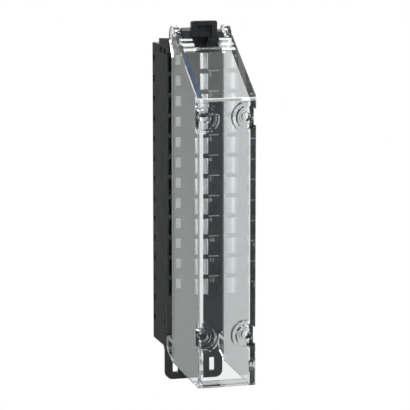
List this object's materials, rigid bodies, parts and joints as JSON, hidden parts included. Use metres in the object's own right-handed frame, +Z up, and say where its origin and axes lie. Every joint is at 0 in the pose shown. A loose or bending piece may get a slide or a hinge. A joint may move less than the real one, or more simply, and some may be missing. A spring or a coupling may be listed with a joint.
{
  "type": "terminal block",
  "caption": "Tall narrow plug-on terminal block with a column of wire clamps, a hinged clear channel cover, a release lever and a slotted cable tie plate.",
  "frame": {"origin": "on the flat rear face, on its centre line, at the rib between the rear sockets of ways 7 and 8", "axes": "+Z up along the column of ways, -Y forward through the clear cover, +X to the right seen from the front"},
  "size_m": [0.0218, 0.0647, 0.1361],
  "materials": {
    "black_nylon": "fine spark-eroded moulding, slightly satin",
    "clear_cover": "clear moulded polycarbonate, polished",
    "grey_plastic": "pale satin carrier strip",
    "black_marker": "satin number plates",
    "plated_steel": "bright zinc-plated pressing",
    "tinned_brass": "tin-plated strip",
    "steel": "blackened steel pin"
  },
  "bodies": {
    "block": {"housing": "black_nylon", "marker_strip": "grey_plastic", "pin_left": "steel", "pin_right": "steel", "contact_01": "tinned_brass", "contact_02": "tinned_brass", "contact_03": "tinned_brass", "contact_04": "tinned_brass", "contact_05": "tinned_brass", "contact_06": "tinned_brass", "contact_07": "tinned_brass", "contact_08": "tinned_brass", "contact_09": "tinned_brass", "contact_10": "tinned_brass", "contact_11": "tinned_brass", "contact_12": "tinned_brass", "clamp_01": "plated_steel", "clamp_02": "plated_steel", "clamp_03": "plated_steel", "clamp_04": "plated_steel", "clamp_05": "plated_steel", "clamp_06": "plated_steel", "clamp_07": "plated_steel", "clamp_08": "plated_steel", "clamp_09": "plated_steel", "clamp_10": "plated_steel", "clamp_11": "plated_steel", "clamp_12": "plated_steel", "marker_01": "black_marker", "marker_02": "black_marker", "marker_03": "black_marker", "marker_04": "black_marker", "marker_05": "black_marker", "marker_06": "black_marker", "marker_07": "black_marker", "marker_08": "black_marker", "marker_09": "black_marker", "marker_10": "black_marker", "marker_11": "black_marker", "marker_12": "black_marker"},
    "clear_cover": {"cover": "clear_cover"},
    "release_lever": {"lever": "black_nylon"}
  },
  "joints": [
    {"name": "cover_hinge", "type": "hinge", "parent": "block", "child": "clear_cover", "pos_m": [0, -0.0287, 0.05878], "axis": [-1, 0, 0], "range_deg": [0, 100]},
    {"name": "lever_pivot", "type": "hinge", "parent": "block", "child": "release_lever", "pos_m": [0, -0.0287, 0.05878], "axis": [1, 0, 0], "range_deg": [0, 25]}
  ]
}
